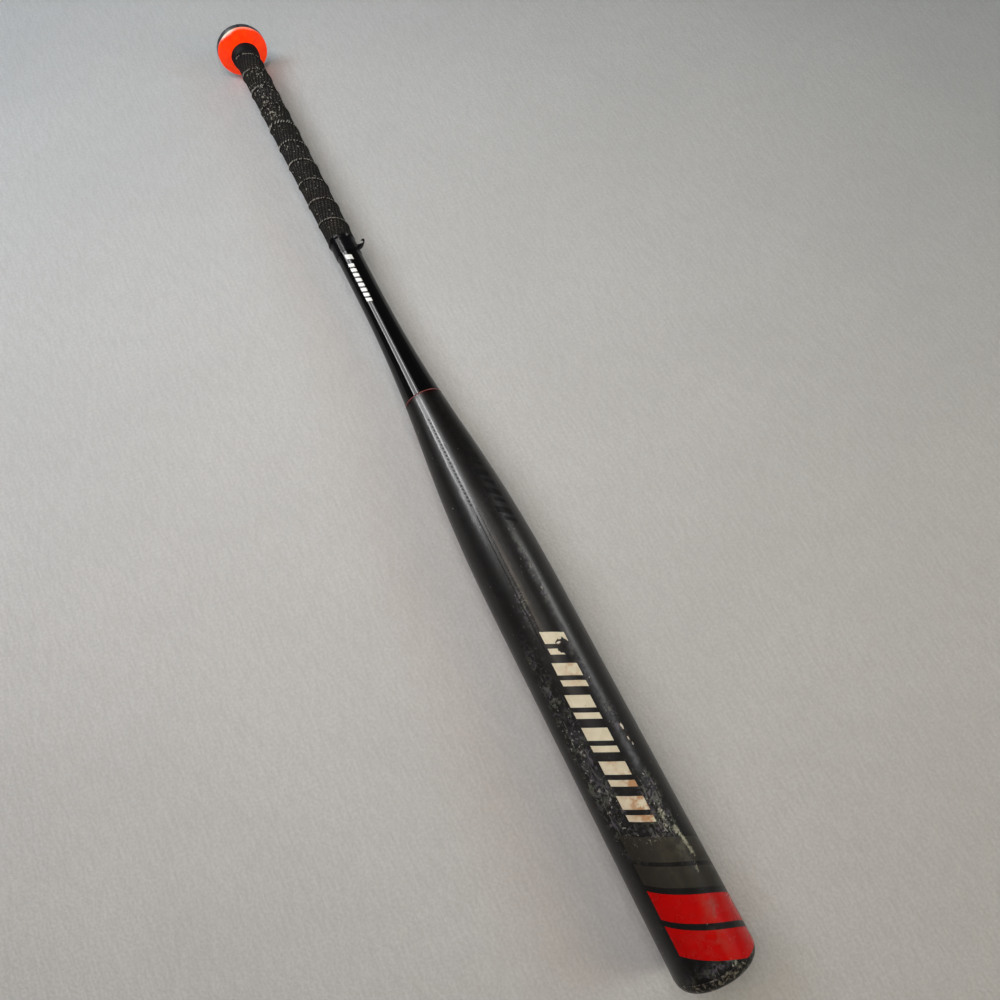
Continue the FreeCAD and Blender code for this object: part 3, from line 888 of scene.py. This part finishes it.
BAND_LEFT, BAND_RIGHT = FACE + 37.5, FACE - 200
GREY_BANDS = [(770.0, 786.0), (788.8, 802.2)]
RED_BANDS = [(806.2, 824.0), (828.0, 846.0)]
BARS_START, BARS_PITCH, BARS_COUNT = 626.0, 23.4, 6
INK, DARK_INK, HANDLE_INK = 0.035, 0.025, 0.03  # the layers' thicknesses


def barrel_patch(*place, lift=INK, **options):
    return patch(*place, lift, skin=barrel_skin, **options)


def handle_patch(low, high, left, right):
    return patch(low, high, FACE + left, FACE + right, HANDLE_INK, step=0.7, slant=0.1)


def build_print():
    """The stripes and plain bars on the barrel and handle. They are generic shapes, with no lettering."""
    red = make_ink("red_ink", (0.50, 0.0025, 0.0018), (0.42, 0.0021, 0.0015), (0.33, 0.05, 0.04),
                   [(822, -26, 8, 12, 0.9), (838, -8, 10, 34, 0.4)], rough=0.2, dusty=(0.55, 0.2, 0.16))
    grey = make_ink("grey_ink", (0.028, 0.0245, 0.0195), (0.02, 0.0178, 0.0142), (0.075, 0.07, 0.045),
                    [(781, -26, 12, 9, 1.0), (788, 0, 20, 20, 0.3)], rough=0.36, dusty=(0.2, 0.19, 0.15))
    rusty = [(752, -6, 18, 18, 1.2), (735, -10, 8, 10, 1.1), (718, 4, 6, 8, 0.7), (658, -4, 12, 10, 0.6)]
    cream = make_ink("cream_ink", (0.70, 0.64, 0.49), (0.58, 0.51, 0.36), (0.42, 0.18, 0.06), rusty,
                     rough=0.45, holes=[(640, -9, 8, 11, 1.0), (650, -19, 8, 9, 0.8)])
    last = BARREL_END + 0.9
    for name, bands, ink in (("barrel_band_grey", GREY_BANDS, grey), ("barrel_band_red", RED_BANDS, red)):
        for i, (low, high) in enumerate(bands):
            layer = barrel_patch(low, high, BAND_LEFT, BAND_RIGHT, last=last)
            piece(f"{name}_{i + 1}", *layer, ink, "barrel_paint", sharp=50)
    bars = []
    for i in range(BARS_COUNT):
        low = BARS_START + BARS_PITCH * i
        drift = -9.0 * (1 - i / 2) if i < 2 else 0.0
        left, right = FACE + 15.0 + drift, FACE - 17.0 + drift
        bars.append(barrel_patch(low, low + 9.0, left, right))
        bars.append(barrel_patch(low + 12.6, low + 17.0, left, right))
    piece("barrel_bars", *joined(bars), cream, "barrel_paint", sharp=50)

    marks = [handle_patch(271.0, 276.0, 16, -14)]
    for i in range(8):
        low = 281.0 + 5.3 * i
        marks.append(handle_patch(low, low + 3.3, 22, -3))
    piece("handle_bars", *joined(marks), make_handle_ink(), "handle_paint", sharp=50)
    build_dark_print()


def build_dark_print():
    """Tone-on-tone bars and a fine line, darker and glossier than the barrel's coat."""
    sh = Shader("dark_ink")
    colour = sh.mix(sh.noise(0.4, 4, seed=37), (0.003, 0.003, 0.0035), (0.009, 0.008, 0.008))
    rough = sh.ramp(sh.noise(0.6, 3, seed=38), 0.3, 0.7, 0.3, 0.44)
    dark = sh.finish(colour, rough, sh.bump(sh.noise(1.2, 2, seed=39), 0.01), Specular_IOR_Level=0.1)
    marks = [barrel_patch(530, 640, FACE + 10.7, FACE + 9.3, lift=DARK_INK, step=1.5, slant=0.0)]
    # First station, pitch, count, length, left, right and mesh step of each row of marks.
    for first, pitch, count, length, left, right, step in (
            (455, 17, 5, 5.5, -24, -50, 1.1), (463.5, 17, 5, 3.5, -30, -50, 1.1),
            (444, 3.4, 24, 1.9, 12.4, 8.6, 0.8), (526, 2.05, 50, 1.15, 5.4, 3.4, 0.7)):
        for i in range(count):
            low = first + pitch * i
            marks.append(barrel_patch(low, low + length, FACE + left, FACE + right, lift=DARK_INK, step=step))
    piece("barrel_dark_bars", *joined(marks), dark, "barrel_paint", sharp=50)


# ---------------- hidden pieces

def finish_hidden_nodes():
    """Gives the frame's own inner pieces their materials. Their shapes stay as they are."""
    foam = make_moulded("foam", (0.72, 0.64, 0.46), (0.6, 0.52, 0.36), 0.85, 0.3, 0.3)
    adhesive = make_moulded("adhesive", (0.55, 0.5, 0.34), (0.42, 0.36, 0.22), 0.35, 0.2, 0.05)
    elastomer = make_moulded("elastomer", (0.05, 0.05, 0.055), (0.07, 0.07, 0.075), 0.5, 0.2, 0.04)
    rubber = make_moulded("weight_rubber", (0.035, 0.035, 0.037), (0.055, 0.053, 0.05), 0.6, 0.3, 0.08)
    looks = {
        "joint_sleeve": elastomer,
        "throat_plug": foam,
        "knob_foam_plug": foam,
        "end_cap_adhesive": adhesive,
        "knob_adhesive": adhesive,
        "end_weight": rubber,
        "knob_badge": make_moulded("badge_film", (0.07, 0.07, 0.072), (0.1, 0.1, 0.1), 0.4, 0.25, 0.02),
        "knob_weight": make_turned_steel(),
        "grip_underlay": make_moulded("underlay", (0.32, 0.29, 0.22), (0.24, 0.21, 0.16), 0.7, 0.25, 0.05),
    }
    for node, material in looks.items():
        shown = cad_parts[node]
        if not shown.material_slots:
            shown.data.materials.append(material)
        for place in shown.material_slots:
            place.material = material


# ---------------- stage

def floor_slope():
    """The station and height where the floor meets the knob's rim, and its fall from there to the barrel."""
    rim, knob_gap = 4.8, BARREL_R - KNOB_R
    falls = [(knob_gap - BARREL_R + body_radius(s)) / (s - rim) for s in span(FLARE_END, BARREL_END, 2.0)]
    return rim, knob_gap, max(falls)


def make_floor():
    """A plain pale cloth-like floor."""
    sh = Shader("floor")
    patchy = sh.noise(0.006, 4, seed=40)
    colour = sh.mix(sh.ramp(patchy, 0.35, 0.65), (0.612, 0.61, 0.61), (0.584, 0.584, 0.584))
    weave = sh.noise(0.45, 3, seed=41)
    colour = sh.mix(sh.ramp(weave, 0.35, 0.65, 0.0, 0.36), colour, (0.45, 0.445, 0.44))
    threads = {"Vector": sh.position, "Rotation": (0, 0, math.radians(-68)), "Scale": (60, 420, 60)}
    threads = sh.node("Mapping", threads).outputs[0]
    rows = sh.node("TexNoise", {"Vector": threads, "Scale": 1.0, "Detail": 2.0})
    colour = sh.mix(sh.ramp(rows.outputs["Fac"], 0.35, 0.7, 0.0, 0.28), colour, (0.45, 0.445, 0.44))
    folds = sh.bump(sh.noise(0.013, 3, seed=42), 4.0)
    puckers = sh.bump(sh.noise(0.11, 3, seed=53), 0.35, folds)
    material = sh.finish(colour, 0.95, sh.bump(weave, 0.6, puckers), Specular_IOR_Level=0.1)
    mesh = bpy.data.meshes.new("floor")
    size = 8.0
    corners = [(-size, -size, 0), (size, -size, 0), (size, size, 0), (-size, size, 0)]
    mesh.from_pydata(corners, [], [(0, 1, 2, 3)])
    mesh.materials.append(material)
    floor = bpy.data.objects.new("floor", mesh)
    rim, knob_gap, slope = floor_slope()
    floor.location = (KNOB_X + rim * MM, 0, (knob_gap - 0.05) * MM)
    floor.rotation_euler = (0, math.atan(slope), 0)
    bpy.context.scene.collection.objects.link(floor)


def make_panel(name, start, end, height, width, radiance, colour, mirrored):
    """A long flat light at a height, from start to end, that faces the bat. radiance is how bright its face is.

    A mirrored light only shows in the gloss. The others only light the surfaces.
    """
    start, end = Vector((*start, height)), Vector((*end, height))
    middle = (start + end) / 2
    along = (end - start).normalized()
    away = (middle - Vector((0, 0, AXIS_Z))).normalized()
    away = (away - along * away.dot(along)).normalized()
    data = bpy.data.lights.new(name, "AREA")
    data.shape = "RECTANGLE"
    data.size = (end - start).length
    data.size_y = width
    data.energy = radiance * math.pi * data.size * data.size_y
    data.color = colour
    light = bpy.data.objects.new(name, data)
    light.visible_glossy = mirrored
    light.visible_diffuse = not mirrored
    turn = Matrix((along, away.cross(along), away)).transposed().to_4x4()
    light.matrix_world = Matrix.Translation(middle) @ turn
    bpy.context.scene.collection.objects.link(light)


# Name, the ends of the middle line (x, y), height, width, radiance and colour.
WHITE = (1, 1, 1)
MIRRORED = [
    ("right_tube", (-1.80, -0.46), (-0.45, -0.52), 1.5, 0.13, 26.0, WHITE),
    ("left_tube", (-2.00, -1.50), (-0.50, -1.15), 1.5, 0.13, 26.0, WHITE),
    ("between", (-1.95, -0.98), (-0.55, -0.85), 1.5, 0.80, 7.2, WHITE),
    ("right_shoulder", (-1.70, -0.27), (-0.45, -0.27), 1.5, 0.26, 2.4, WHITE),
    ("warm_panel", (-0.30, -0.20), (0.12, -0.26), 1.5, 0.16, 11.0, (1.0, 0.80, 0.62)),
    ("ceiling", (-0.55, -0.02), (0.40, -0.02), 1.5, 0.9, 1.1, WHITE),
    ("side_window", (-0.60, 2.60), (-0.06, 2.20), 1.5, 0.6, 20.0, (1.0, 0.98, 0.96)),
    ("far_panel", (0.0, 2.6), (0.8, 2.3), 1.5, 0.6, 6.0, WHITE),
]
UNSEEN = [
    ("window_far", (0.85, 2.40), (1.55, 2.40), 1.5, 0.7, 9.8, (0.43, 0.83, 1.0)),
    ("soft_back", (-0.75, -0.58), (-0.25, -0.58), 0.9, 0.5, 6.8, (0.72, 0.87, 1.0)),
    ("soft_left", (-0.30, -0.50), (0.20, -0.50), 0.9, 0.5, 1.7, (1.0, 0.62, 0.33)),
    ("soft_top", (-0.30, -0.05), (0.20, -0.05), 0.9, 0.5, 4.95, (1.0, 0.94, 0.88)),
    ("soft_front", (0.60, 0.85), (1.10, 0.85), 0.9, 0.5, 5.4, (1.0, 0.73, 0.44)),
]


def make_lights():
    for panel in MIRRORED:
        make_panel(*panel, mirrored=True)
    for panel in UNSEEN:
        make_panel(*panel, mirrored=False)
    world = bpy.data.worlds.new("studio")
    world.use_nodes = True
    nodes, links = world.node_tree.nodes, world.node_tree.links
    direction = nodes.new("ShaderNodeTexCoord")
    parts = nodes.new("ShaderNodeSeparateXYZ")
    fade = nodes.new("ShaderNodeMapRange")
    fade.interpolation_type = "SMOOTHSTEP"
    for key, value in {"From Min": 0.05, "From Max": 0.5, "To Min": 0.14, "To Max": 0.05}.items():
        fade.inputs[key].default_value = value
    links.new(direction.outputs["Generated"], parts.inputs[0])
    links.new(parts.outputs[2], fade.inputs["Value"])
    background = nodes["Background"]
    background.inputs["Color"].default_value = (1.0, 0.99, 0.975, 1)
    links.new(fade.outputs[0], background.inputs["Strength"])
    bpy.context.scene.world = world
    bpy.context.scene.view_settings.view_transform = "Standard"


def make_camera():
    data = bpy.data.cameras.new("camera")
    data.sensor_width = 36.0
    data.lens = 25.2
    data.clip_start = 0.01
    camera = bpy.data.objects.new("camera", data)
    camera.location = (0.23057, -0.0550, 0.54284)
    camera.rotation_euler = (math.radians(17.236), 0, math.radians(63.196))
    bpy.context.scene.collection.objects.link(camera)
    bpy.context.scene.camera = camera


make_camera()
make_lights()
make_floor()
vinyl_tape = make_vinyl()
build_knob()
build_tape(make_grip_cloth(), make_thread())
build_lower_band(vinyl_tape)
build_finishing_band(vinyl_tape)
build_handle()
build_barrel()
build_end_cap()
build_print()
finish_hidden_nodes()
